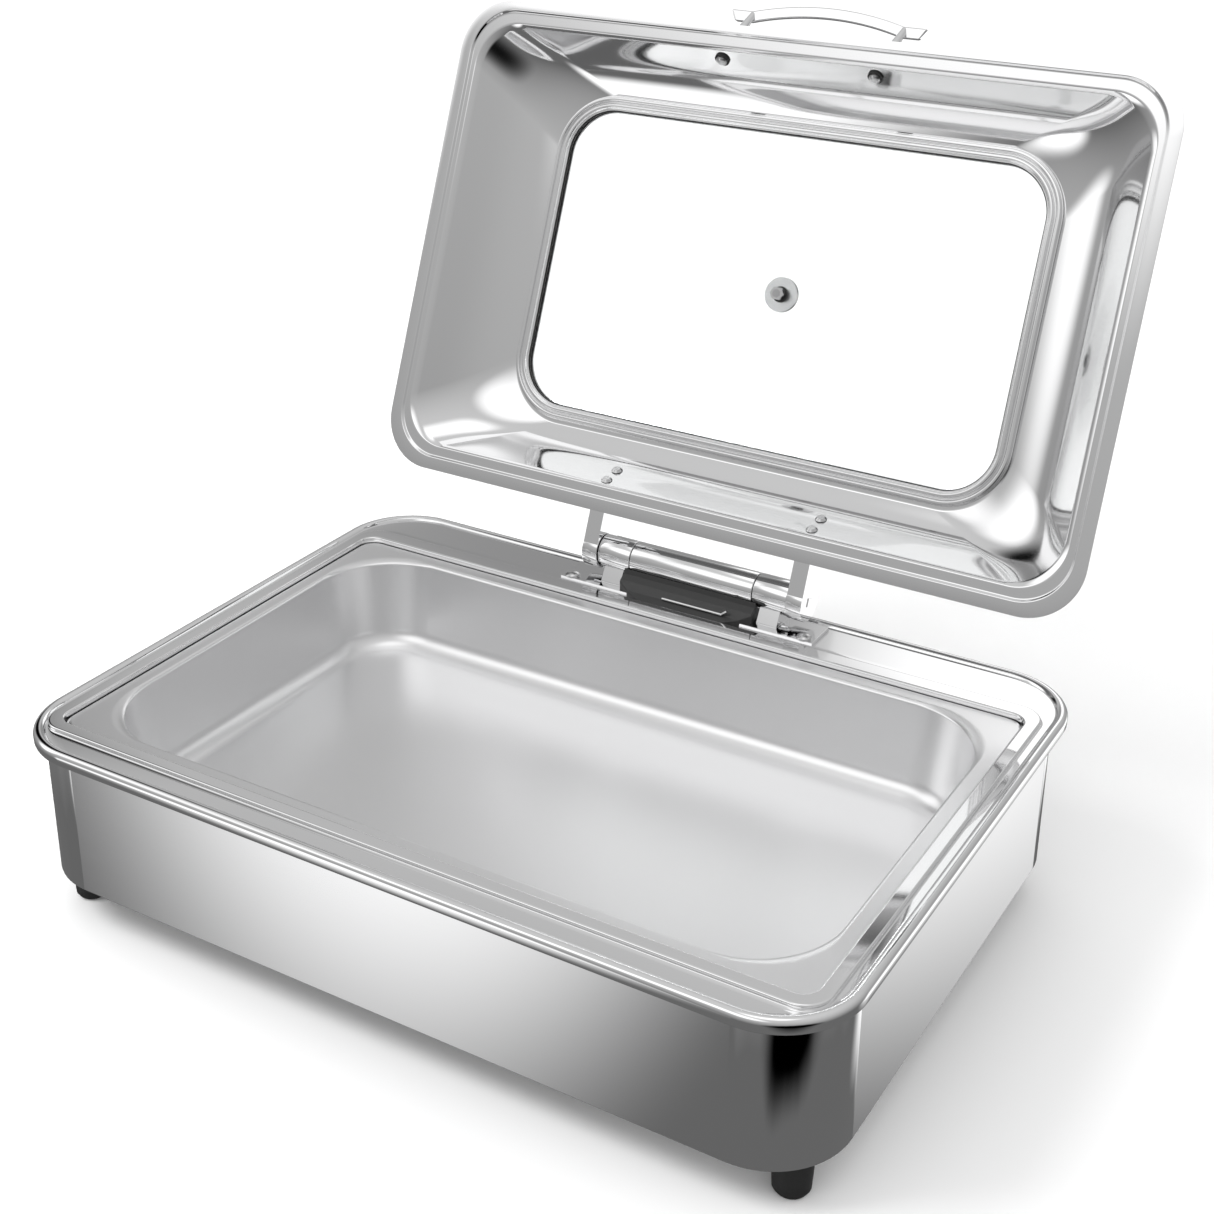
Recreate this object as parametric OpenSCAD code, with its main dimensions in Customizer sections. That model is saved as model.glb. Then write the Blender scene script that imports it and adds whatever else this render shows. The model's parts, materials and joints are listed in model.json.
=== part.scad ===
// Rectangular chafing dish with a rear-hinged, damped lid and a domed glass window.
// +X runs to the right along the front, +Y to the back and +Z up. The origin is on the
// surface that the feet stand on, under the middle of the dish with its lid open.

/* [Food pan] */
// Length of the food pan over its flange
pan_l = 530; // [520:1:535]
// Width of the food pan over its flange
pan_w = 325; // [320:1:328]
// Depth of the food pan
pan_depth = 65; // [40:1:75]

/* [Base] */
// Height of the feet under the casing
foot_h = 29.4; // [20:0.2:40]
// Height of the casing wall below the deck
casing_h = 101.2; // [95:0.2:120]
// Outside length of the casing
casing_l = 565.4; // [562:0.2:568]
// Outside width of the casing
casing_w = 392; // [390:0.5:394]
// Thickness of the sheet steel
sheet = 1; // [0.8:0.1:1.2]

/* [Lid] */
// Length of the lid over its flange
lid_l = 557.8; // [552:0.2:558]
// Width of the lid over its flange
lid_w = 364.1; // [360:0.1:366]
// Height of the window land above the rim of the lid
lid_rise = 44; // [36:1:52]
// How far the glass bulges above its border
glass_bulge = 14; // [8:1:18]
// Angle from closed to fully open
open_angle = 111.8; // [100:0.1:112]

/* [Hinge] */
// Outside radius of the hinge barrel
barrel_r = 12.4; // [11:0.1:12.6]
// Radius of the hinge shaft
shaft_r = 4.6; // [4.6:0.1:5]
// Radial running clearance of the shaft
shaft_play = 0.05; // [0.02:0.01:0.09]

/* [Hidden] */
$fn = 96;

steel = [0.80, 0.81, 0.82];
satin = [0.68, 0.69, 0.70];
black = [0.06, 0.06, 0.065];
bronze = [0.66, 0.52, 0.33];

// Positions below are measured from the middle of the food pan and from the top face
// of its flange. deck_z puts that face at its height above the table.
deck_z = foot_h + casing_h;
half_l = pan_l / 2;
half_w = pan_w / 2;

// Casing and deck outlines: [half length, front, back, corner radius]
casing_back_shift = 8.4;
casing_r = 51;
casing_box = [casing_l / 2, casing_back_shift - casing_w / 2, casing_back_shift + casing_w / 2, casing_r];
bead_w = 8;
bead_top = 2.6;
bead_low = -8;
deck_box = [283.9, -190, 219.3, 49];
rib_out = [275, -173, 178, 18];
rib_in = [half_l + 1, -half_w - 1, half_w + 1, 11];
rib_top = 3.4;
opening_box = [253, -151, 149.5, 58];
seat_z = -5.6;
seat_box = [257.5, -155, 155, 60];
water_floor = -88;

// Lid outlines in the closed position: [half length, front, back, corner radius]
lid_back = 178;
lid_front = lid_back - lid_w;
lid_plane = rib_top + 0.4;
lid_edge = [lid_l / 2, lid_front, lid_back, 39.8];
lid_step = [270, lid_front + 6.1, lid_back - 9.5, 36];
lid_mouth = [264.5, lid_front + 16.1, lid_back - 18.3, 35];
lid_shoulder = [201, -131, 124, 46];
window_box = [190.9, -120.1, 109.7, 35.7];
window_mid = (window_box[1] + window_box[2]) / 2;
land_z = lid_plane + lid_rise;
glass_t = 4;
glass_z = land_z + sheet;
glass_lap = 5;
hole_lap = 6.5;
hole_box = grow(window_box, hole_lap);

// Parts of the rise and of the dome at which the lid's wall and the glass have a ring of points
wall_levels = [0.06, 0.18, 0.32, 0.46, 0.6, 0.72, 0.82, 0.9, 0.96, 1];
glass_levels = [1, 0.86, 0.7, 0.52, 0.34, 0.17];
corner_steps = 9;
glass_top = glass_z + dome(glass_levels[len(glass_levels) - 1]) + glass_t;

// Hinge axis, parallel to X
axis_y = 206;
axis_z = 21;
sleeve_x0 = 50.4;
sleeve_x1 = 77;
arm_x0 = 77.5;
arm_w = 12;
arm_mid = arm_x0 + arm_w / 2;
arm_r = 14.2;
square_w = 6.4;
arm_low = 13.8;
wall_gap = 2.4;
rivet_tilt = 60;
plate_t = 2.5;
tube_half = 49.9;
seal_w = 5;
bush_r = 7;

// Handle: bent, tapered legs stand on the lid's front wall and carry an arched band with slanted ends
handle_x = 60;
handle_foot = [lid_back - 341.6, lid_plane + 12];
handle_tilt = 31;
handle_wall = -0.75;
stub_h = 13;
leg_r = 4.2;
leg_tip_r = 2.1;
leg_tilt = 43.1;
leg_h = 37.4;
plate_half = 77.5;
plate_slant = 4.5;
plate_w = 8.3;
plate_bow = 8;
plate_rise = 5;
grip_t = 3.6;
bow_half = 60;

foot_x = 257.8;
foot_front = casing_back_shift - 165.4;
foot_back = casing_back_shift + 165.4;

knee = [handle_foot[0] - stub_h * cos(handle_tilt), handle_foot[1] + stub_h * sin(handle_tilt)];
plate_foot = [knee[0] - leg_h * cos(leg_tilt), knee[1] + leg_h * sin(leg_tilt)];

// The open lid's furthest point is the edge of the handle's bow
bow_reach = plate_w / 2 + plate_bow;
bow_y = plate_foot[0] - bow_reach * cos(plate_rise) - axis_y;
bow_z = plate_foot[1] + bow_reach * sin(plate_rise) + grip_t * cos(plate_rise) - axis_z;
reach_y = axis_y + bow_y * cos(open_angle) + bow_z * sin(open_angle);
mid_y = (reach_y + deck_box[1] - bead_w / 2) / 2;

// ---------- outlines ----------

function mix(a, b, t) = a + (b - a) * t;

function grow(box, d) = [box[0] + d, box[1] - d, box[2] + d, max(box[3] + d, 0.5)];

// Points round a rounded rectangle, counter-clockwise from the right-hand side
function outline(box, steps) = [
    for (q = [0:3], i = [0:steps])
        let (a = 90 * q + 90 * i / steps,
            sx = (q == 0 || q == 3) ? 1 : -1,
            y = (q < 2) ? box[2] - box[3] : box[1] + box[3])
        [sx * (box[0] - box[3]) + box[3] * cos(a), y + box[3] * sin(a)]
];

function ring(box, z, steps) = [for (p = outline(box, steps)) [p[0], p[1], z]];

module flat_outline(box) {
    r = box[3];
    for (x = [-1, 1], y = [box[1] + r, box[2] - r])
        translate([x * (box[0] - r), y]) circle(r);
    translate([-box[0], box[1] + r]) square([2 * box[0], box[2] - box[1] - 2 * r]);
    translate([-box[0] + r, box[1]]) square([2 * (box[0] - r), box[2] - box[1]]);
}

// A plate or an upright wall between two outlines
module band(outer, inner, z0, z1) {
    translate([0, 0, z0]) linear_extrude(z1 - z0) difference() {
        flat_outline(outer);
        flat_outline(inner);
    }
}

// Sweeps a profile round an outline. The profile's x runs outwards from it and y is height.
module around(box) {
    r = box[3];
    mid = (box[1] + box[2]) / 2;
    half = (box[2] - box[1]) / 2;
    run_x = 2 * (box[0] - r);
    run_y = 2 * (half - r);
    translate([0, mid, 0]) {
        for (q = [0:3]) {
            sx = (q == 0 || q == 3) ? 1 : -1;
            sy = (q < 2) ? 1 : -1;
            translate([sx * (box[0] - r), sy * (half - r), 0]) rotate([0, 0, 90 * q])
                rotate_extrude(angle = 90) translate([r, 0]) children();
        }
        for (side = [0, 180]) {
            rotate([0, 0, side]) translate([box[0], 0, 0]) rotate([90, 0, 0])
                linear_extrude(run_y, center = true) children();
            rotate([0, 0, side + 90]) translate([half, 0, 0]) rotate([90, 0, 0])
                linear_extrude(run_x, center = true) children();
        }
    }
}

// Joins rings of points into one closed skin, either as a loop or with both ends capped
module skin(rings, loop) {
    n = len(rings[0]);
    k = len(rings);
    last = loop ? k - 1 : k - 2;
    sides = [for (i = [0:last], j = [0:n - 1])
        [i * n + j, ((i + 1) % k) * n + j, ((i + 1) % k) * n + (j + 1) % n, i * n + (j + 1) % n]];
    caps = loop ? [] : [[for (j = [n - 1:-1:0]) j], [for (j = [0:n - 1]) (k - 1) * n + j]];
    polyhedron([for (r = rings) each r], concat(sides, caps), convexity = 6);
}

// ---------- places ----------

module on_deck() {
    translate([0, -mid_y, deck_z]) children();
}

module on_lid() {
    on_deck() translate([0, axis_y, axis_z]) rotate([-open_angle, 0, 0])
        translate([0, -axis_y, -axis_z]) children();
}

// A piece drawn along +X from the hinge axis
module on_axis(x) {
    translate([x, axis_y, axis_z]) rotate([0, 90, 0]) children();
}

module each_foot() {
    for (x = [-foot_x, foot_x], y = [foot_front, foot_back])
        translate([x, y, -casing_h]) children();
}

module each_base_screw() {
    for (x = [-240, -80, 80, 240], y = [-165, 182])
        translate([x, y, -casing_h + 2 * sheet]) children();
}

module each_bracket_screw() {
    for (x = [-95, 95]) translate([x, 188, plate_t]) children();
    for (x = [-44, 44]) translate([x, 209.4, plate_t]) children();
}

// Handle frame: z points away from the lid's front wall
module on_handle() {
    on_lid() translate([0, handle_foot[0], handle_foot[1]]) rotate([90 - handle_tilt, 0, 0]) children();
}

// ---------- base ----------

module casing() color(steel) on_deck() {
    band(casing_box, grow(casing_box, -sheet), -casing_h, -1.4);
    difference() {
        band(grow(casing_box, -sheet / 2), grow(casing_box, -46), -casing_h, -casing_h + sheet);
        each_foot() cylinder(h = 20, r = 2.7, center = true);
        each_base_screw() cylinder(h = 20, r = 2.1, center = true);
    }
}

module bottom_plate() color(satin) on_deck() difference() {
    union() {
        translate([0, 0, -casing_h + sheet]) linear_extrude(sheet) flat_outline(grow(casing_box, -3));
        band(grow(casing_box, -3), grow(casing_box, -3 - sheet), -casing_h + 1.5 * sheet, -casing_h + 12);
    }
    each_foot() cylinder(h = 20, r = 2.7, center = true);
    each_base_screw() cylinder(h = 20, r = 2.1, center = true);
}

module bottom_screws() color(satin) on_deck() each_base_screw() {
    cylinder(h = 2.4, r = 3.8);
    translate([0, 0, -2 * sheet - 1.5]) cylinder(h = 2 * sheet + 2, r = 1.9);
}

module feet() color(black) on_deck() each_foot() difference() {
    union() {
        translate([0, 0, -foot_h + 3]) cylinder(h = foot_h - 3, r1 = 11, r2 = 12.5);
        translate([0, 0, -foot_h]) cylinder(h = 3, r1 = 9, r2 = 11);
    }
    translate([0, 0, -foot_h - 1]) cylinder(h = 14, r = 5);
    cylinder(h = 3 * foot_h, r = 2.7, center = true);
}

module foot_screws() color(steel) on_deck() each_foot() {
    translate([0, 0, -foot_h + 9.5]) cylinder(h = 3.5, r = 4.4);
    translate([0, 0, -foot_h + 12]) cylinder(h = foot_h - 12 + 8, r = 2.45);
}

module foot_nuts() color(steel) on_deck() each_foot() translate([0, 0, 2 * sheet]) difference() {
    cylinder(h = 4, r = 4.6, $fn = 6);
    translate([0, 0, -1]) cylinder(h = 6, r = 2.5);
}

module rolled_bead() {
    mid_low = bead_low + bead_w / 2;
    mid_top = bead_top - bead_w / 2;
    difference() {
        stadium(bead_w / 2, mid_low, mid_top);
        stadium(bead_w / 2 - sheet, mid_low, mid_top);
        translate([-bead_w, bead_low - 1]) square([bead_w - 0.4, -bead_low]);
    }
}

module stadium(r, low, top) {
    translate([0, low]) circle(r);
    translate([0, top]) circle(r);
    translate([-r, low]) square([2 * r, top - low]);
}

module water_pan() color(steel) on_deck() difference() {
    union() {
        around(deck_box) rolled_bead();
        band(grow(deck_box, -2.6), grow(rib_out, -0.5), -sheet, 0);
        band(rib_out, grow(rib_out, -sheet), -sheet, rib_top);
        band(grow(rib_out, -0.2), grow(rib_in, 0.2), rib_top - sheet, rib_top);
        band(grow(rib_in, sheet), rib_in, seat_z - sheet, rib_top);
        band(grow(rib_in, sheet / 2), seat_box, seat_z - sheet, seat_z);
        band(grow(seat_box, sheet), seat_box, water_floor, seat_z - sheet / 2);
        translate([0, 0, water_floor - sheet]) linear_extrude(sheet + 0.5)
            flat_outline(grow(seat_box, sheet));
    }
    each_bracket_screw() cylinder(h = 20, r = 2.2, center = true);
}

module pan_profile() {
    r = opening_box[3];
    polygon([
        [4, 0], [4, -sheet], [1.4, -2.6], [sheet, -4], [-6.6, 12 - pan_depth], [-10.6, 4.2 - pan_depth],
        [-17, -pan_depth - 0.2], [-24, -pan_depth - sheet], [-r, -pan_depth - sheet], [-r, -pan_depth],
        [-24, -pan_depth], [-18, 1 - pan_depth], [-11.6, 5 - pan_depth], [-7.7, 12.4 - pan_depth],
        [0, -4], [0.7, -1.6], [2.2, -0.4]
    ]);
}

module food_pan() color(satin) on_deck() {
    flange = [half_l, -half_w, half_w, 10];
    r = opening_box[3];
    band(flange, grow(opening_box, 3.8), -sheet, 0);
    band(flange, grow(flange, -sheet), seat_z, -sheet / 2);
    around(opening_box) pan_profile();
    translate([0, 0, -pan_depth - sheet]) linear_extrude(sheet)
        translate([r - opening_box[0], opening_box[1] + r])
            square([2 * (opening_box[0] - r), opening_box[2] - opening_box[1] - 2 * r]);
}

// ---------- hinge, fixed side ----------

module hinge_bracket() color(steel) on_deck() difference() {
    union() {
        translate([-103, 184, 0]) cube([206, 28.6, plate_t]);
        for (x = [-72, 56]) translate([x, axis_y, 0]) rotate([90, 0, 90])
            linear_extrude(16) polygon([[-15, 0], [-15, plate_t + 1], [-9, 14], [6, 14], [6.4, 0]]);
    }
    on_axis(-90) cylinder(h = 180, r = barrel_r + 0.02);
    each_bracket_screw() cylinder(h = 20, r = 2.2, center = true);
}

module hinge_cradle() color(black) on_deck() difference() {
    intersection() {
        translate([-54, axis_y, 0]) rotate([90, 0, 90]) linear_extrude(108)
            polygon([[-27.4, 0], [-27.4, 2.4], [-22.4, 5], [-18, 10], [-13.4, 13], [-11, 19], [-6, 16],
                [-4, plate_t], [-22.2, plate_t], [-22.2, 0]]);
        translate([0, axis_y, -1]) linear_extrude(30)
            polygon([[-33, -28], [33, -28], [54, -19], [54, 0], [-54, 0], [-54, -19]]);
    }
    on_axis(-60) cylinder(h = 120, r = barrel_r + 0.3);
}

// A bent spring wire along the cradle's front face
module cradle_clip() color(steel) on_deck() {
    translate([-16, axis_y - 22.9, 6.2]) rotate([0, 90, 0]) cylinder(h = 48, r = 0.9);
    translate([32, axis_y - 22.9, 6.2]) sphere(r = 1.1);
    translate([32, axis_y - 22.9, 6.2]) rotate([0, 50, 0]) cylinder(h = 6, r = 0.9);
}

module bracket_screws() color(steel) on_deck() each_bracket_screw() {
    intersection() {
        cylinder(h = 3.6, r = 5.4);
        translate([0, 0, -5.2]) sphere(r = 8.6);
    }
    translate([0, 0, -plate_t - 6]) cylinder(h = plate_t + 6.5, r = 1.95);
}

module bracket_nuts() color(steel) on_deck() each_bracket_screw() translate([0, 0, -plate_t - sheet - 3.2])
    difference() {
        cylinder(h = 3.2, r = 4.1, $fn = 6);
        translate([0, 0, -1]) cylinder(h = 6, r = 2);
    }

module hinge_sleeve(side) {
    on_deck() difference() {
        on_axis(side > 0 ? sleeve_x0 : -sleeve_x1) cylinder(h = sleeve_x1 - sleeve_x0, r = barrel_r);
        on_axis(side > 0 ? sleeve_x0 - 1 : -sleeve_x1 - 1) cylinder(h = 40, r = bush_r + 0.02);
    }
}

module hinge_sleeve_left() color(steel) hinge_sleeve(-1);

module hinge_sleeve_right() color(steel) hinge_sleeve(1);

module hinge_bushes() color(bronze) on_deck() for (x = [-sleeve_x1 + 0.4, sleeve_x0 + 1]) on_axis(x)
    difference() {
        cylinder(h = 25, r = bush_r);
        translate([0, 0, -1]) cylinder(h = 27, r = shaft_r + shaft_play);
    }

module damper_tube() color(steel) on_deck() difference() {
    on_axis(-tube_half) cylinder(h = 2 * tube_half, r = barrel_r);
    on_axis(-tube_half - 1) cylinder(h = 2 * tube_half + 2, r = 10.4);
}

module damper_seals() color(black) on_deck() for (x = [-tube_half + 0.4, tube_half - 0.4 - seal_w]) on_axis(x)
    difference() {
        cylinder(h = seal_w, r = 10.38);
        translate([0, 0, -1]) cylinder(h = seal_w + 2, r = shaft_r + shaft_play);
    }

// ---------- hinge, moving side ----------

module damper_rotor() color(satin) on_lid() difference() {
    on_axis(-43) union() {
        cylinder(h = 86, r = 7);
        for (a = [0, 180]) rotate([0, 0, a]) translate([-1.5, 0, 0]) cube([3, 9.6, 86]);
    }
    on_axis(-50) cylinder(h = 100, r = shaft_r + 0.01);
}

module hinge_shaft() color(steel) on_lid() {
    on_axis(-arm_x0) cylinder(h = 2 * arm_x0, r = shaft_r);
    translate([0, axis_y, axis_z]) cube([2 * (arm_x0 + arm_w + 0.6), square_w, square_w], center = true);
}

// A point outside the lid's back wall, seen from the hinge axis
function behind_wall(u, gap) = [
    wall_box(u)[2] + gap * sin(rivet_tilt) - axis_y,
    lid_plane + lid_rise * u + gap * cos(rivet_tilt) - axis_z
];

module hinge_arm(side) {
    on_lid() difference() {
        translate([side > 0 ? arm_x0 : -arm_x0 - arm_w, axis_y, axis_z]) rotate([90, 0, 90]) union() {
            cylinder(h = arm_w, r = arm_r);
            linear_extrude(arm_w) polygon([[0, -arm_low], [-28, -arm_low], behind_wall(0.1, wall_gap),
                behind_wall(0.37, wall_gap), behind_wall(0.64, wall_gap), behind_wall(0.64, wall_gap + 5),
                [-30, 13.6], [0, arm_low]]);
        }
        translate([0, axis_y, axis_z]) cube([200, square_w + 0.04, square_w + 0.04], center = true);
        each_rivet() cylinder(h = 10.5, r = 2.02);
    }
}

module hinge_arm_left() color(steel) hinge_arm(-1);

module hinge_arm_right() color(steel) hinge_arm(1);

module each_rivet() {
    for (x = [-arm_mid, arm_mid], u = [0.2, 0.5])
        translate([x, axis_y + behind_wall(u, 0)[0], axis_z + behind_wall(u, 0)[1]])
            rotate([-rivet_tilt, 0, 0]) children();
}

module arm_spacers() color(satin) on_lid() each_rivet() difference() {
    translate([0, 0, sheet + 0.2]) cylinder(h = wall_gap - sheet - 0.7, r = 4.4);
    cylinder(h = 20, r = 2.02, center = true);
}

module arm_rivets() color(steel) on_lid() each_rivet() {
    translate([0, 0, -1.8]) cylinder(h = 12.2, r = 2);
    translate([0, 0, -2.2]) cylinder(h = 1.8, r1 = 2.8, r2 = 4.2);
}

// ---------- lid ----------

// Part of the way in from the mouth to the shoulder at part u of the rise
function wall_run(u) = 0.68 * u + 0.32 * pow(u, 5);

function wall_box(u) = [for (i = [0:3]) mix(lid_mouth[i], lid_shoulder[i], wall_run(u))];

function inside_rings() = concat(
    [[lid_edge, 0], [lid_step, 0], [grow(lid_step, -1.5), 1.6], [lid_mouth, 1.6]],
    [for (u = wall_levels) [wall_box(u), lid_rise * u]],
    [[hole_box, lid_rise]]
);

function outside_rings() = concat(
    [[hole_box, lid_rise + sheet]],
    [for (i = [len(wall_levels) - 1:-1:0])
        let (u = wall_levels[i])
        [grow(wall_box(u), sheet * (1 - 0.6 * u)), lid_rise * u + sheet * (0.3 + 0.7 * u)]],
    [[grow(lid_mouth, sheet), 2.8], [grow(lid_step, -0.5), 2.8], [grow(lid_step, 1), 1.8], [lid_edge, 1.8]]
);

module lid_shell() color(steel) on_lid() difference() {
    skin([for (p = concat(inside_rings(), outside_rings()))
        ring(p[0], lid_plane + p[1], corner_steps)], true);
    each_rivet() cylinder(h = 30, r = 2.05, center = true);
    for (x = [-handle_x, handle_x]) translate([x, handle_foot[0], handle_foot[1]])
        rotate([90 - handle_tilt, 0, 0]) cylinder(h = 30, r = 2.55, center = true);
}

// Pressed ring under the land, with two rounded ridges
module window_frame() color(steel) on_lid() around(window_box) {
    translate([0.2, land_z - 1.7]) square([11, 1.2]);
    for (x = [3.4, 8.6]) intersection() {
        translate([x, land_z - 1.7]) circle(1.8);
        translate([x - 3, land_z - 5]) square([6, 4]);
    }
}

// A channel that holds the edge of the glass and sits in the hole of the lid's land
module window_gasket() color(black) on_lid() around(window_box) difference() {
    translate([-0.6, land_z - 0.48]) square([glass_lap + 3.2, glass_t + sheet + 1.3]);
    translate([-2, glass_z]) square([glass_lap + 2.1, glass_t]);
    translate([-2, glass_z]) square([2.1, glass_t + 9]);
    translate([hole_lap - 0.25, land_z - 1]) square([9, sheet + 1.05]);
}

module window_trim() color(steel) on_lid() around(window_box) difference() {
    translate([-0.4, glass_z]) square([glass_lap + 9, glass_t + 2.4]);
    translate([-2, glass_z - 1]) square([glass_lap + 4.85, glass_t + 1.85]);
}

// Height of the dome at part t of the way from its middle to its border
function dome(t) = glass_bulge * pow(1 - t * t, 0.9);

function glass_ring(t, up) = ring(
    [window_box[0] * t, window_mid + (window_box[1] - window_mid) * t,
        window_mid + (window_box[2] - window_mid) * t, window_box[3] * t],
    glass_z + dome(t) + up, corner_steps);

module window_glass() color([0.8, 0.9, 0.92, 0.35]) on_lid() difference() {
    skin(concat(
        [for (i = [len(glass_levels) - 1:-1:0]) glass_ring(glass_levels[i], glass_t)],
        [ring(grow(window_box, glass_lap), glass_z + glass_t, corner_steps)],
        [ring(grow(window_box, glass_lap), glass_z, corner_steps)],
        [for (t = glass_levels) glass_ring(t, 0)]
    ), false);
    translate([0, window_mid, glass_z]) cylinder(h = 60, r = 4.1, center = true);
}

module on_vent() {
    on_lid() translate([0, window_mid, glass_top]) children();
}

module vent_knob() color(steel) on_vent() {
    translate([0, 0, 1.6]) cylinder(h = 3, r = 13);
    translate([0, 0, 4.6]) cylinder(h = 4.6, r1 = 13, r2 = 9.5);
    translate([0, 0, 9.2]) cylinder(h = 1.2, r1 = 9.5, r2 = 7.6);
    translate([0, 0, -glass_t - 4.6]) cylinder(h = glass_t + 6.6, r = 3);
}

module vent_seal() color(black) on_vent() difference() {
    union() {
        cylinder(h = 1.58, r = 6);
        translate([0, 0, -glass_t - 1.4]) cylinder(h = 1.4, r = 5);
        translate([0, 0, -glass_t - 0.5]) cylinder(h = glass_t + 1, r = 4.05);
    }
    cylinder(h = 20, r = 3.02, center = true);
}

module vent_nut() color(steel) on_vent() translate([0, 0, -glass_t - 4.4]) difference() {
    cylinder(h = 2.98, r = 5.2, $fn = 6);
    translate([0, 0, -1]) cylinder(h = 5, r = 3.02);
}

// ---------- handle ----------

// Plate frame: y runs across the grip, away from the lid, and z out of its upper face
module on_grip() {
    on_lid() translate([0, plate_foot[0], plate_foot[1]]) rotate([-plate_rise, 0, 0])
        rotate([0, 0, 180]) children();
}

// Each leg has a collar on the lid's wall and is cut off flush with the plate
module handle_legs() color(steel) difference() {
    union() {
        on_handle() for (x = [-handle_x, handle_x]) translate([x, 0, handle_wall + sheet + 0.05]) {
            cylinder(h = stub_h - handle_wall - sheet - 0.05, r = leg_r);
            cylinder(h = 2.4, r = 7.2);
        }
        on_lid() for (x = [-handle_x, handle_x]) translate([x, knee[0], knee[1]]) {
            sphere(r = leg_r + 0.3);
            rotate([90 - leg_tilt, 0, 0]) cylinder(h = leg_h + 6, r1 = leg_r, r2 = leg_tip_r);
        }
    }
    on_handle() for (x = [-handle_x, handle_x]) translate([x, 0, -5]) cylinder(h = 15, r = 2.5);
    on_grip() translate([-100, -40, -0.04]) cube([200, 80, 20]);
}

module handle_grip() color(steel) on_grip() {
    bow_r = (pow(bow_half, 2) + pow(plate_bow, 2)) / (2 * plate_bow);
    linear_extrude(grip_t) difference() {
        union() {
            polygon([[-plate_half + plate_slant, -plate_w / 2], [plate_half - plate_slant, -plate_w / 2],
                [plate_half, plate_w / 2], [-plate_half, plate_w / 2]]);
            intersection() {
                translate([0, bow_reach - bow_r]) circle(bow_r, $fn = 720);
                translate([-bow_half - 4, 0]) square([2 * bow_half + 8, 2 * bow_reach]);
            }
        }
        translate([0, bow_reach - bow_r]) circle(bow_r - plate_w, $fn = 720);
    }
}

module each_handle_foot(height) {
    on_handle() for (x = [-handle_x, handle_x]) translate([x, 0, height]) children();
}

module handle_washers() color(black) each_handle_foot(handle_wall - 1.3) difference() {
    cylinder(h = 1.2, r = 5.6);
    translate([0, 0, -1]) cylinder(h = 4, r = 2.5);
}

module handle_screws() color(steel) each_handle_foot(handle_wall - 1.35) {
    intersection() {
        translate([0, 0, -3]) cylinder(h = 3, r = 4.2);
        translate([0, 0, 2.6]) sphere(r = 5.6);
    }
    translate([0, 0, -1]) cylinder(h = 11, r = 2.45);
}

casing();
bottom_plate();
bottom_screws();
feet();
foot_screws();
foot_nuts();
water_pan();
food_pan();
hinge_bracket();
hinge_cradle();
cradle_clip();
bracket_screws();
bracket_nuts();
hinge_sleeve_left();
hinge_sleeve_right();
hinge_bushes();
damper_tube();
damper_seals();
damper_rotor();
hinge_shaft();
hinge_arm_left();
hinge_arm_right();
arm_spacers();
arm_rivets();
lid_shell();
window_frame();
window_trim();
window_gasket();
window_glass();
vent_knob();
vent_seal();
vent_nut();
handle_grip();
handle_legs();
handle_washers();
handle_screws();
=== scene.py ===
"""Rear-hinged chafing dish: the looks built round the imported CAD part, in metres, in the CAD's frame."""

import json
import math

import bmesh
import bpy
from mathutils import Matrix, Vector


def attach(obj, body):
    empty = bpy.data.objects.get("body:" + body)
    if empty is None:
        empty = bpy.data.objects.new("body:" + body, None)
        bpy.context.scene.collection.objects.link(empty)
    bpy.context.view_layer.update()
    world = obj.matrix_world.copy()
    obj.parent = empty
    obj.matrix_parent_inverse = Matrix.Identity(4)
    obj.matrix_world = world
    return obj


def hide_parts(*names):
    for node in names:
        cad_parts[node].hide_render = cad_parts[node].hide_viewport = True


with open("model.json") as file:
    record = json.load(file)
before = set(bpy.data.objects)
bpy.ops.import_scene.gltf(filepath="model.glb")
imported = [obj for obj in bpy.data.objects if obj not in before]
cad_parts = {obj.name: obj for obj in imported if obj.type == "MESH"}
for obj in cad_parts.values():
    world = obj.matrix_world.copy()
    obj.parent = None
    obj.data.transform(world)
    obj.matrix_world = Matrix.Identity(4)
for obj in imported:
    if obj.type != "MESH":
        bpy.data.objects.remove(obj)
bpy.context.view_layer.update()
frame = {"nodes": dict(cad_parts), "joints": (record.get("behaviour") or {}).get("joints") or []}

# ---------- camera ----------

joint = frame["joints"][0]
axis_place = Vector(joint["pos_m"])
# From the hinge axis to the camera, in metres
CAMERA_REACH = Vector((0.5713, -1.09335, 0.60199))
CAMERA_AZIMUTH = math.radians(30.655)
CAMERA_ELEVATION = math.radians(22.835)
CAMERA_ROLL = math.radians(0.4435)
SENSOR = 36
LENS = 55.9
SHIFT_Y = -0.1153


def make_camera():
    data = bpy.data.cameras.new("camera")
    data.sensor_width = SENSOR
    data.lens = LENS
    data.shift_y = SHIFT_Y
    data.clip_start = 0.05
    camera = bpy.data.objects.new("camera", data)
    bpy.context.scene.collection.objects.link(camera)
    level = math.cos(CAMERA_ELEVATION)
    side, ahead = math.sin(CAMERA_AZIMUTH), math.cos(CAMERA_AZIMUTH)
    back = Vector((side * level, -ahead * level, math.sin(CAMERA_ELEVATION)))
    right = Vector((ahead, side, 0))
    up = back.cross(right)
    turn = Matrix((right, up, back)).transposed() @ Matrix.Rotation(CAMERA_ROLL, 3, "Z")
    camera.matrix_world = Matrix.Translation(axis_place + CAMERA_REACH) @ turn.to_4x4()
    bpy.context.scene.camera = camera


make_camera()

# ---------- sizes, in millimetres from the middle of the food pan's flange ----------

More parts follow.
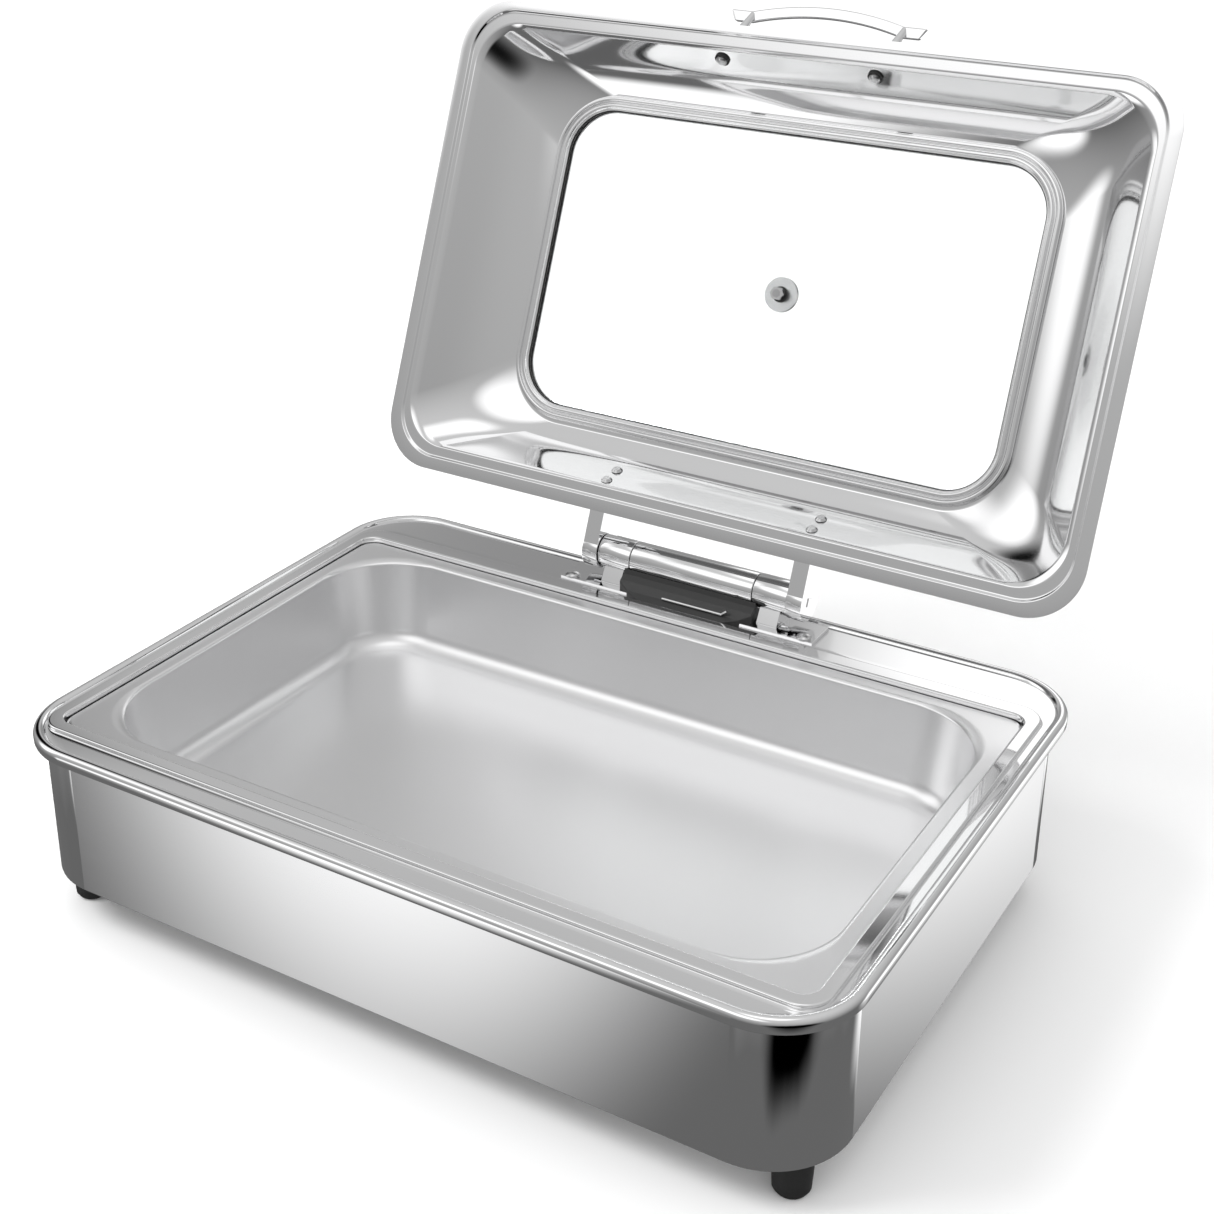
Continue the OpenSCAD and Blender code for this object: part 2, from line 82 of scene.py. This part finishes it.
MM = 0.001
AXIS = Vector((0, 206, 21))
OPEN_ANGLE = math.radians(max(joint["range_deg"]))
ON_DECK = Matrix.Translation(axis_place) @ Matrix.Scale(MM, 4) @ Matrix.Translation(-AXIS)
ON_LID = (
    Matrix.Translation(axis_place)
    @ Matrix.Rotation(-OPEN_ANGLE, 4, "X")
    @ Matrix.Scale(MM, 4)
    @ Matrix.Translation(-AXIS)
)

# Rounded rectangles: half length, front, back and corner radius
DECK_BOX = (283.9, -190, 219.3, 49)
RIB_OUT = (275, -173, 178, 18)
RIB_IN = (266, -163.5, 163.5, 11)
SEAT_BOX = (257.5, -155, 155, 60)
FLANGE_BOX = (265, -162.5, 162.5, 10)
OPENING_BOX = (253, -151, 149.5, 58)
LID_EDGE = (278.9, -186.1, 178, 39.8)
LID_STEP = (270, -180, 168.5, 36)
LID_MOUTH = (264.5, -170, 159.7, 35)
LID_SHOULDER = (201, -131, 124, 46)
WINDOW_BOX = (190.9, -120.1, 109.7, 35.7)
WINDOW_MID = (WINDOW_BOX[1] + WINDOW_BOX[2]) / 2

SHEET = 1
RIB_TOP = 3.4
SEAT_Z = -5.6
WATER_FLOOR = -88
PAN_FLOOR = -65
LID_PLANE = RIB_TOP + 0.4
LID_RISE = 44
LAND_Z = LID_PLANE + LID_RISE
GLASS_Z = LAND_Z + SHEET
GLASS_T = 4
GLASS_BULGE = 14
GLASS_LAP = 5
CORNER_STEPS = 20

# ---------- shapes ----------


def grow(box, d):
    return (box[0] + d, box[1] - d, box[2] + d, max(box[3] + d, 0.5))


def mix(a, b, t):
    return tuple(p + (q - p) * t for p, q in zip(a, b))


def outline(box, steps=CORNER_STEPS):
    """Points round a rounded rectangle, counter-clockwise from its right-hand side."""
    half, front, back, r = box
    points = []
    for quarter in range(4):
        side = 1 if quarter in (0, 3) else -1
        y = back - r if quarter < 2 else front + r
        for i in range(steps + 1):
            a = math.radians(90 * (quarter + i / steps))
            points.append((side * (half - r) + r * math.cos(a), y + r * math.sin(a)))
    return points


def rounded(path, steps=6):
    """Rounds the corners of a path of (*values, radius), seen in its first and last value."""
    made = [tuple(path[0][:-1])]
    for before, here, after in zip(path, path[1:], path[2:]):
        corner = Vector(here[:-1])
        back_way = Vector(before[:-1]) - corner
        on_way = Vector(after[:-1]) - corner
        back_length = math.hypot(back_way[0], back_way[-1])
        on_length = math.hypot(on_way[0], on_way[-1])
        if not here[-1]:
            made.append(tuple(corner))
            continue
        cosine = (back_way[0] * on_way[0] + back_way[-1] * on_way[-1]) / (back_length * on_length)
        half_angle = math.acos(max(-1.0, min(1.0, cosine))) / 2
        reach = min(here[-1] / math.tan(half_angle), 0.49 * back_length, 0.49 * on_length)
        start = corner + back_way * (reach / back_length)
        end = corner + on_way * (reach / on_length)
        weight = math.sin(half_angle)
        for i in range(steps + 1):
            s = i / steps
            parts = ((1 - s) ** 2, 2 * s * (1 - s) * weight, s * s)
            made.append(tuple((start * parts[0] + corner * parts[1] + end * parts[2]) / sum(parts)))
    made.append(tuple(path[-1][:-1]))
    return made


def box_path(*points, steps=6):
    """Rounds a path of (outline, height, radius) into rings of (outline, height)."""
    flat = rounded([(*box, z, r) for box, z, r in points], steps)
    return [(p[:4], p[4]) for p in flat]


def finish_piece(obj, body, look, place, nodes, crease=35):
    """Puts a new mesh in place, shades it smoothly up to a crease and lets it stand for CAD nodes."""
    mesh = obj.data
    mesh.transform(place)
    shape = bmesh.new()
    shape.from_mesh(mesh)
    bmesh.ops.recalc_face_normals(shape, faces=shape.faces)
    for face in shape.faces:
        face.smooth = True
    for edge in shape.edges:
        if len(edge.link_faces) == 2 and edge.calc_face_angle(0) > math.radians(crease):
            edge.smooth = False
    shape.to_mesh(mesh)
    shape.free()
    mesh.materials.append(look)
    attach(obj, body)
    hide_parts(*nodes)
    return obj


def mesh_object(name, points, faces):
    mesh = bpy.data.meshes.new(name)
    mesh.from_pydata([tuple(p) for p in points], [], faces)
    obj = bpy.data.objects.new(name, mesh)
    bpy.context.scene.collection.objects.link(obj)
    return obj


def ring_faces(rings, count, loop=False):
    last = rings if loop else rings - 1
    faces = []
    for i in range(last):
        here, there = i * count, (i + 1) % rings * count
        for j in range(count):
            on = (j + 1) % count
            faces.append((here + j, here + on, there + on, there + j))
    return faces


def shell(name, rings, body, look, place, nodes, cap_end=False, side=-1, thick=SHEET):
    """A sheet-metal skin through rings of (outline, height), thickened to one side."""
    lines = [[(x, y, z) for x, y in outline(box)] for box, z in rings]
    count = len(lines[0])
    points = [p for line in lines for p in line]
    faces = ring_faces(len(lines), count)
    if cap_end:
        faces.append(tuple((len(lines) - 1) * count + j for j in range(count)))
    obj = mesh_object(name, points, faces)
    finish_piece(obj, body, look, place, nodes)
    solid = obj.modifiers.new("thickness", "SOLIDIFY")
    solid.thickness = thick * MM
    solid.offset = side
    solid.use_even_offset = True
    obj.modifiers.new("normals", "WEIGHTED_NORMAL").keep_sharp = True
    return obj


def sweep(name, box, profile, body, look, place, nodes):
    """A closed profile of (outwards, height) carried round an outline."""
    lines = [[(x, y, z) for x, y in outline(grow(box, d))] for d, z in profile]
    points = [p for line in lines for p in line]
    obj = mesh_object(name, points, ring_faces(len(lines), len(lines[0]), loop=True))
    finish_piece(obj, body, look, place, nodes)
    obj.modifiers.new("normals", "WEIGHTED_NORMAL").keep_sharp = True
    return obj


def closed_profile(points, steps=5):
    """Rounds every corner of a closed outline of (x, y, radius)."""
    first = mix(points[0], points[-1], 0.5)
    start = (first[0], first[1], 0)
    return rounded([start, *points, start], steps)[:-1]


def rod(name, paths, body, look, place, nodes, around=24):
    """Round bars along paths of (point, radius), with both ends closed."""
    points, faces = [], []
    for path in paths:
        base = len(points)
        line = [Vector(p) for p, _ in path]
        for i, p in enumerate(line):
            way = (line[min(i + 1, len(line) - 1)] - line[max(i - 1, 0)]).normalized()
            across = Vector((1, 0, 0)) if abs(way.x) < 0.9 else Vector((0, 1, 0))
            other = way.cross(across).normalized()
            across = other.cross(way)
            for j in range(around):
                a = 2 * math.pi * j / around
                points.append(p + (across * math.cos(a) + other * math.sin(a)) * path[i][1])
        faces += [tuple(base + k for k in f) for f in ring_faces(len(line), around)]
        faces.append(tuple(base + j for j in range(around)))
        faces.append(tuple(base + (len(line) - 1) * around + j for j in range(around)))
    obj = mesh_object(name, points, faces)
    return finish_piece(obj, body, look, place, nodes)


# ---------- materials ----------


def material(name):
    look = bpy.data.materials.new(name)
    look.use_nodes = True
    shader = look.node_tree.nodes["Principled BSDF"]
    return look, look.node_tree, shader


def noise(tree, scale, detail=3, stretch=(1, 1, 1)):
    """Noise over the object's own place, in metres, drawn out along an axis by stretch."""
    place = tree.nodes.new("ShaderNodeTexCoord")
    mapping = tree.nodes.new("ShaderNodeMapping")
    mapping.inputs["Scale"].default_value = stretch
    texture = tree.nodes.new("ShaderNodeTexNoise")
    texture.inputs["Scale"].default_value = scale
    texture.inputs["Detail"].default_value = detail
    tree.links.new(place.outputs["Object"], mapping.inputs["Vector"])
    tree.links.new(mapping.outputs["Vector"], texture.inputs["Vector"])
    return texture.outputs["Fac"]


def spread(tree, value, low, high):
    ramp = tree.nodes.new("ShaderNodeMapRange")
    ramp.inputs["To Min"].default_value = low
    ramp.inputs["To Max"].default_value = high
    tree.links.new(value, ramp.inputs["Value"])
    return ramp.outputs["Result"]


def bump(tree, shader, value, strength, distance):
    node = tree.nodes.new("ShaderNodeBump")
    node.inputs["Strength"].default_value = strength
    node.inputs["Distance"].default_value = distance
    tree.links.new(value, node.inputs["Height"])
    tree.links.new(node.outputs["Normal"], shader.inputs["Normal"])


def metal(name, grey, rough, spread_by, grain=(1, 1, 1), grain_scale=60, wave=0.0):
    look, tree, shader = material(name)
    shader.inputs["Base Color"].default_value = (grey, grey, grey * 1.005, 1)
    shader.inputs["Metallic"].default_value = 1
    value = noise(tree, grain_scale, 4, grain)
    tree.links.new(spread(tree, value, rough, rough + spread_by), shader.inputs["Roughness"])
    if wave:
        bump(tree, shader, noise(tree, 9, 1), wave, 0.002)
    return look


def dull(name, grey, rough, texture_scale=400, depth=0.0004):
    look, tree, shader = material(name)
    shader.inputs["Base Color"].default_value = (grey, grey, grey, 1)
    value = noise(tree, texture_scale, 3)
    tree.links.new(spread(tree, value, rough, rough + 0.12), shader.inputs["Roughness"])
    bump(tree, shader, value, 0.15, depth)
    return look


chrome = metal("mirror_steel", 0.86, 0.035, 0.03)
lid_steel = metal("lid_mirror_steel", 0.84, 0.05, 0.03, wave=0.06)
casing_steel = metal("casing_steel", 0.82, 0.05, 0.03, grain=(1, 1, 12), grain_scale=25)
pan_steel = metal("pan_satin_steel", 0.88, 0.28, 0.04, grain=(1, 6, 6), grain_scale=140)
knob_steel = metal("knob_satin_steel", 0.55, 0.24, 0.05)
plain = metal("hardware_steel", 0.66, 0.22, 0.10)
bronze = metal("bush_bronze", 0.45, 0.3, 0.1)
rubber = dull("foot_rubber_black", 0.015, 0.55)
seal = dull("seal_rubber_black", 0.02, 0.5)
# The hinge cradle under the hinge tube is coloured near-black, as dark as the zone under the tube.
cradle_black = dull("hinge_cradle_near_black", 0.02, 0.35)


def make_glass():
    look, tree, shader = material("window_clear_glass")
    shader.inputs["Base Color"].default_value = (0.97, 0.98, 0.98, 1)
    shader.inputs["Transmission Weight"].default_value = 1
    shader.inputs["IOR"].default_value = 1.45
    value = noise(tree, 8, 1)
    tree.links.new(spread(tree, value, 0.0, 0.02), shader.inputs["Roughness"])
    return look


glass = make_glass()

NODE_LOOKS = {
    "casing": casing_steel,
    "bottom_plate": plain,
    "bottom_screws": plain,
    "feet": rubber,
    "foot_screws": plain,
    "foot_nuts": plain,
    "hinge_bracket": chrome,
    "hinge_cradle": cradle_black,
    "cradle_clip": chrome,
    "bracket_screws": plain,
    "bracket_nuts": plain,
    "hinge_sleeve_left": chrome,
    "hinge_sleeve_right": chrome,
    "hinge_bushes": bronze,
    "damper_tube": chrome,
    "damper_seals": seal,
    "damper_rotor": plain,
    "hinge_shaft": chrome,
    "hinge_arm_left": chrome,
    "hinge_arm_right": chrome,
    "arm_spacers": plain,
    "arm_rivets": plain,
    "window_gasket": seal,
    "vent_knob": knob_steel,
    "vent_seal": seal,
    "vent_nut": plain,
    "handle_grip": chrome,
    "handle_washers": seal,
    "handle_screws": plain,
}
ROUND_EDGES = {
    "casing": 0.6,
    "feet": 0.8,
    "hinge_bracket": 0.5,
    "hinge_cradle": 0.8,
    "bracket_screws": 0.3,
    "hinge_sleeve_left": 0.6,
    "hinge_sleeve_right": 0.6,
    "damper_tube": 0.6,
    "hinge_shaft": 0.3,
    "hinge_arm_left": 0.9,
    "hinge_arm_right": 0.9,
    "vent_knob": 0.5,
    "handle_grip": 1.1,
}


def dress_cad_nodes():
    for name, look in NODE_LOOKS.items():
        obj = frame["nodes"][name]
        obj.data.materials.clear()
        obj.data.materials.append(look)
        if name in ROUND_EDGES:
            obj.modifiers.new("join", "WELD").merge_threshold = 0.00002
            edge = obj.modifiers.new("edges", "BEVEL")
            edge.width = ROUND_EDGES[name] * MM
            edge.segments = 3
            edge.limit_method = "ANGLE"
            edge.angle_limit = math.radians(38)
            edge.harden_normals = True


dress_cad_nodes()

# ---------- base ----------

BEAD_R = 4
BEAD_MID_LOW = -4
BEAD_MID_TOP = -1.4


def bead_rings():
    """From the inside of the hook, round its outside and over onto the deck."""
    low = [(math.radians(a), BEAD_MID_LOW) for a in range(-96, 0, 12)]
    top = [(math.radians(a), BEAD_MID_TOP) for a in range(0, 157, 12)]
    return [(grow(DECK_BOX, BEAD_R * math.cos(a)), mid + BEAD_R * math.sin(a)) for a, mid in low + top]


def make_deck():
    rings = bead_rings()
    rings += box_path(
        (grow(DECK_BOX, -4.6), 0, 0),
        (grow(RIB_OUT, 0), 0, 1.0),
        (RIB_OUT, RIB_TOP, 1.3),
        (RIB_IN, RIB_TOP, 1.2),
        (RIB_IN, SEAT_Z, 1.2),
        (SEAT_BOX, SEAT_Z, 1.2),
        (SEAT_BOX, WATER_FLOOR, 8),
        (grow(SEAT_BOX, -30), WATER_FLOOR, 0),
    )
    shell("water_pan_deck", rings, "base", chrome, ON_DECK, ["water_pan"], cap_end=True)


def make_food_pan():
    slope = 9.7
    rings = box_path(
        (grow(FLANGE_BOX, 0), SEAT_Z, 0),
        (FLANGE_BOX, 0, 1.1),
        (grow(OPENING_BOX, 0.6), 0, 3.2),
        (grow(OPENING_BOX, -slope), PAN_FLOOR, 15),
        (grow(OPENING_BOX, -40), PAN_FLOOR, 0),
        steps=8,
    )
    shell("food_pan_shell", rings, "base", pan_steel, ON_DECK, ["food_pan"], cap_end=True)


make_deck()
make_food_pan()

# ---------- lid ----------


def wall_run(u):
    return 0.68 * u + 0.32 * u**5


def make_lid():
    levels = [i / 28 for i in range(2, 28)]
    rings = box_path(
        (LID_EDGE, LID_PLANE, 0),
        (LID_STEP, LID_PLANE, 1.2),
        (grow(LID_STEP, -1.5), LID_PLANE + 1.6, 1.2),
        (LID_MOUTH, LID_PLANE + 1.6, 2.4),
        (mix(LID_MOUTH, LID_SHOULDER, wall_run(levels[0])), LID_PLANE + LID_RISE * levels[0], 0),
    )
    rings += [(mix(LID_MOUTH, LID_SHOULDER, wall_run(u)), LID_PLANE + LID_RISE * u) for u in levels[1:]]
    last = rings.pop()
    rings += box_path((*last, 0), (LID_SHOULDER, LAND_Z, 6), (grow(WINDOW_BOX, 6.5), LAND_Z, 0))
    shell("lid_skin", rings, "lid", lid_steel, ON_LID, ["lid_shell"], side=1)


def make_window_frame():
    low = LAND_Z - 1.7
    profile = [(0.2, LAND_Z - 0.5, 0.2), (0.2, low, 0.3)]
    for middle in (3.4, 8.6):
        profile += [(middle - 2, low, 0.6), (middle - 1.2, low - 2.3, 1.1)]
        profile += [(middle + 1.2, low - 2.3, 1.1), (middle + 2, low, 0.6)]
    profile += [(11.2, low, 0.3), (11.2, LAND_Z - 0.5, 0.2)]
    sweep("window_frame_ring", WINDOW_BOX, closed_profile(profile), "lid", chrome, ON_LID, ["window_frame"])


def make_window_trim():
    top = GLASS_Z + GLASS_T + 2.4
    profile = [
        (-0.4, top - 1.55, 0.4),
        (-0.4, top, 1.0),
        (GLASS_LAP + 8.6, top, 2.4),
        (GLASS_LAP + 8.6, GLASS_Z, 0.3),
        (GLASS_LAP + 2.85, GLASS_Z, 0.3),
        (GLASS_LAP + 2.85, top - 1.55, 0.3),
    ]
    sweep("window_trim_ring", WINDOW_BOX, closed_profile(profile), "lid", chrome, ON_LID, ["window_trim"])


def make_glass_pane():
    """A domed pane with a hole at its middle for the vent knob's stem."""
    hole = 4.1
    steps = [math.sin(math.radians(90 - 5 * i)) for i in range(0, 17)]
    border = outline(WINDOW_BOX)
    circle = outline((hole, WINDOW_MID - hole, WINDOW_MID + hole, hole - 0.001))

    def line(t, up):
        blend_in = min(1, t / 0.4) ** 0.5
        height = GLASS_Z + GLASS_BULGE * (1 - t * t) ** 0.9 + up
        made = []
        for (bx, by), (cx, cy) in zip(border, circle):
            sx = bx * t
            sy = WINDOW_MID + (by - WINDOW_MID) * t
            share = blend_in if t < 0.4 else 1
            made.append((sx * share + cx * (1 - share), sy * share + cy * (1 - share), height))
        return made

    lap = [(x, y) for x, y in outline(grow(WINDOW_BOX, GLASS_LAP))]
    under = [line(t, 0) for t in steps] + [[(x, y, line(0, 0)[0][2]) for x, y in circle]]
    over = [[(x, y, z + GLASS_T) for x, y, z in ring] for ring in reversed(under)]
    rings = [[(x, y, GLASS_Z) for x, y in lap]] + under + over + [[(x, y, GLASS_Z + GLASS_T) for x, y in lap]]
    points = [p for ring in rings for p in ring]
    obj = mesh_object("window_pane", points, ring_faces(len(rings), len(border), loop=True))
    finish_piece(obj, "lid", glass, ON_LID, ["window_glass"], crease=50)


make_lid()
make_window_frame()
make_window_trim()
make_glass_pane()

# ---------- handle ----------

HANDLE_X = 60
HANDLE_FOOT = (LID_EDGE[2] - 341.6, LID_PLANE + 12)
HANDLE_TILT = math.radians(31)
STUB_H = 13
LEG_R = 4.2
LEG_END_R = 2.2
LEG_TILT = math.radians(43.1)
LEG_H = 37.4
PLATE_RISE = math.radians(5)
GRIP_T = 3.6
COLLAR_R = 7.2
COLLAR_FROM = 1.2
COLLAR_TO = 3.0
BEND = 5


def make_handle_legs():
    """Two round, tapered bars that rise from the lid's front wall, bend and end inside the grip."""
    way_out = Vector((0, -math.cos(HANDLE_TILT), math.sin(HANDLE_TILT)))
    way_up = Vector((0, -math.cos(LEG_TILT), math.sin(LEG_TILT)))
    lean = math.pi / 2 - LEG_TILT + PLATE_RISE
    length = LEG_H + GRIP_T / 2 / math.cos(lean)
    bars, collars = [], []
    for x in (-HANDLE_X, HANDLE_X):
        foot = Vector((x, *HANDLE_FOOT))
        knee = foot + way_out * STUB_H
        before, after = knee - way_out * BEND, knee + way_up * BEND
        path = [(foot + way_out * COLLAR_FROM, LEG_R)]
        for i in range(9):
            s = i / 8
            path.append((before * (1 - s) ** 2 + knee * 2 * s * (1 - s) + after * s * s, LEG_R))
        path.append((knee + way_up * length, LEG_END_R))
        bars.append(path)
        collars.append([(foot + way_out * COLLAR_FROM, COLLAR_R), (foot + way_out * COLLAR_TO, COLLAR_R)])
    rod("handle_leg_bars", bars, "lid", chrome, ON_LID, ["handle_legs"])
    rod("handle_leg_collars", collars, "lid", chrome, ON_LID, ["handle_legs"], around=32)


make_handle_legs()

# ---------- floor, light tent and lights ----------

TENT_R = 12
CARD_R = 9
FLOOR_HALF = 6
WORLD_STRENGTH = 1.1
TENT_LOW = 0.15
TENT_HIGH = 0.7


def only_in_reflections(obj):
    for ray in ("camera", "diffuse", "transmission", "shadow", "volume_scatter"):
        setattr(obj, "visible_" + ray, False)


def glow_material(name):
    look = bpy.data.materials.new(name)
    look.use_nodes = True
    tree = look.node_tree
    tree.nodes.remove(tree.nodes["Principled BSDF"])
    return look, tree, tree.nodes.new("ShaderNodeEmission")


def make_tent():
    """A light tent seen only in the steel, evenly graded from its foot to its top."""
    shape = bmesh.new()
    bmesh.ops.create_uvsphere(shape, u_segments=48, v_segments=24, radius=TENT_R)
    mesh = bpy.data.meshes.new("light_tent")
    shape.to_mesh(mesh)
    shape.free()
    obj = bpy.data.objects.new("light_tent", mesh)
    bpy.context.scene.collection.objects.link(obj)
    look, tree, glow = glow_material("tent_cloth")
    place = tree.nodes.new("ShaderNodeTexCoord")
    split = tree.nodes.new("ShaderNodeSeparateXYZ")
    height = tree.nodes.new("ShaderNodeMapRange")
    height.inputs["From Min"].default_value = -TENT_R / 2
    height.inputs["From Max"].default_value = TENT_R
    height.inputs["To Min"].default_value = TENT_LOW
    height.inputs["To Max"].default_value = TENT_HIGH
    tree.links.new(place.outputs["Object"], split.inputs["Vector"])
    tree.links.new(split.outputs["Z"], height.inputs["Value"])
    tree.links.new(height.outputs["Result"], glow.inputs["Strength"])
    tree.links.new(glow.outputs["Emission"], tree.nodes["Material Output"].inputs["Surface"])
    mesh.materials.append(look)
    only_in_reflections(obj)


def soft_card(name, azimuth, elevation, half_wide, half_high, brightness):
    """A plain card that fades out to its edge. Angles in degrees: azimuth 0 is the front, 90 the right."""
    a, e = math.radians(azimuth), math.radians(elevation)
    way = Vector((math.sin(a) * math.cos(e), -math.cos(a) * math.cos(e), math.sin(e)))
    obj = mesh_object(name, [(-1, -1, 0), (1, -1, 0), (1, 1, 0), (-1, 1, 0)], [(0, 1, 2, 3)])
    wide = CARD_R * math.tan(math.radians(half_wide))
    high = CARD_R * math.tan(math.radians(half_high))
    turn = way.to_track_quat("Z", "Y").to_matrix().to_4x4()
    obj.matrix_world = Matrix.Translation(way * CARD_R) @ turn @ Matrix.Diagonal((wide, high, 1, 1))
    look, tree, glow = glow_material(name + "_cloth")
    glow.inputs["Strength"].default_value = brightness
    place = tree.nodes.new("ShaderNodeTexCoord")
    fade = tree.nodes.new("ShaderNodeTexGradient")
    fade.gradient_type = "SPHERICAL"
    soft = tree.nodes.new("ShaderNodeMapRange")
    soft.interpolation_type = "SMOOTHSTEP"
    soft.inputs["From Max"].default_value = 0.6
    clear = tree.nodes.new("ShaderNodeBsdfTransparent")
    blend = tree.nodes.new("ShaderNodeMixShader")
    tree.links.new(place.outputs["Object"], fade.inputs["Vector"])
    tree.links.new(fade.outputs["Fac"], soft.inputs["Value"])
    tree.links.new(soft.outputs["Result"], blend.inputs["Fac"])
    tree.links.new(clear.outputs["BSDF"], blend.inputs[1])
    tree.links.new(glow.outputs["Emission"], blend.inputs[2])
    tree.links.new(blend.outputs["Shader"], tree.nodes["Material Output"].inputs["Surface"])
    obj.data.materials.append(look)
    only_in_reflections(obj)


def make_floor():
    square = [(-1, -1), (1, -1), (1, 1), (-1, 1)]
    corners = [(FLOOR_HALF * x, FLOOR_HALF * y, 0) for x, y in square]
    obj = mesh_object("floor", corners, [(0, 1, 2, 3)])
    look = bpy.data.materials.new("floor_paint")
    look.use_nodes = True
    shader = look.node_tree.nodes["Principled BSDF"]
    shader.inputs["Base Color"].default_value = (0.95, 0.95, 0.95, 1)
    shader.inputs["Roughness"].default_value = 0.9
    shader.inputs["Specular IOR Level"].default_value = 0.1
    obj.data.materials.append(look)
    obj.visible_glossy = False


def make_world():
    world = bpy.data.worlds.new("studio")
    bpy.context.scene.world = world
    world.use_nodes = True
    background = world.node_tree.nodes["Background"]
    background.inputs["Color"].default_value = (1, 1, 1, 1)
    background.inputs["Strength"].default_value = WORLD_STRENGTH


def soft_light(name, place, size, watts):
    data = bpy.data.lights.new(name, "AREA")
    data.shape = "DISK"
    data.size = size
    data.energy = watts
    light = bpy.data.objects.new(name, data)
    turn = Vector(place).to_track_quat("Z", "Y").to_matrix().to_4x4()
    light.matrix_world = Matrix.Translation(place) @ turn
    light.visible_glossy = False
    bpy.context.scene.collection.objects.link(light)


make_floor()
make_world()
make_tent()
soft_card("front_left_card", -35, -20, 15, 25, 1.3)
soft_card("front_right_flag", 45, -20, 35, 30, 0.0)
soft_card("right_card", 150, -20, 25, 25, 1.3)
soft_card("front_high_card", -20, 45, 35, 20, 1.3)
soft_card("left_card", -70, 30, 20, 30, 1.3)
soft_card("left_flag", -110, 30, 20, 30, 0.0)
soft_card("back_left_flag", -150, 20, 15, 15, 0.3)
soft_card("back_card", -170, 25, 15, 20, 1.3)
soft_card("top_card", 0, 85, 20, 20, 1.3)
soft_light("key_softbox", (-1.6, -1.4, 2.4), 1.2, 40)
bpy.context.scene.view_settings.view_transform = "Standard"
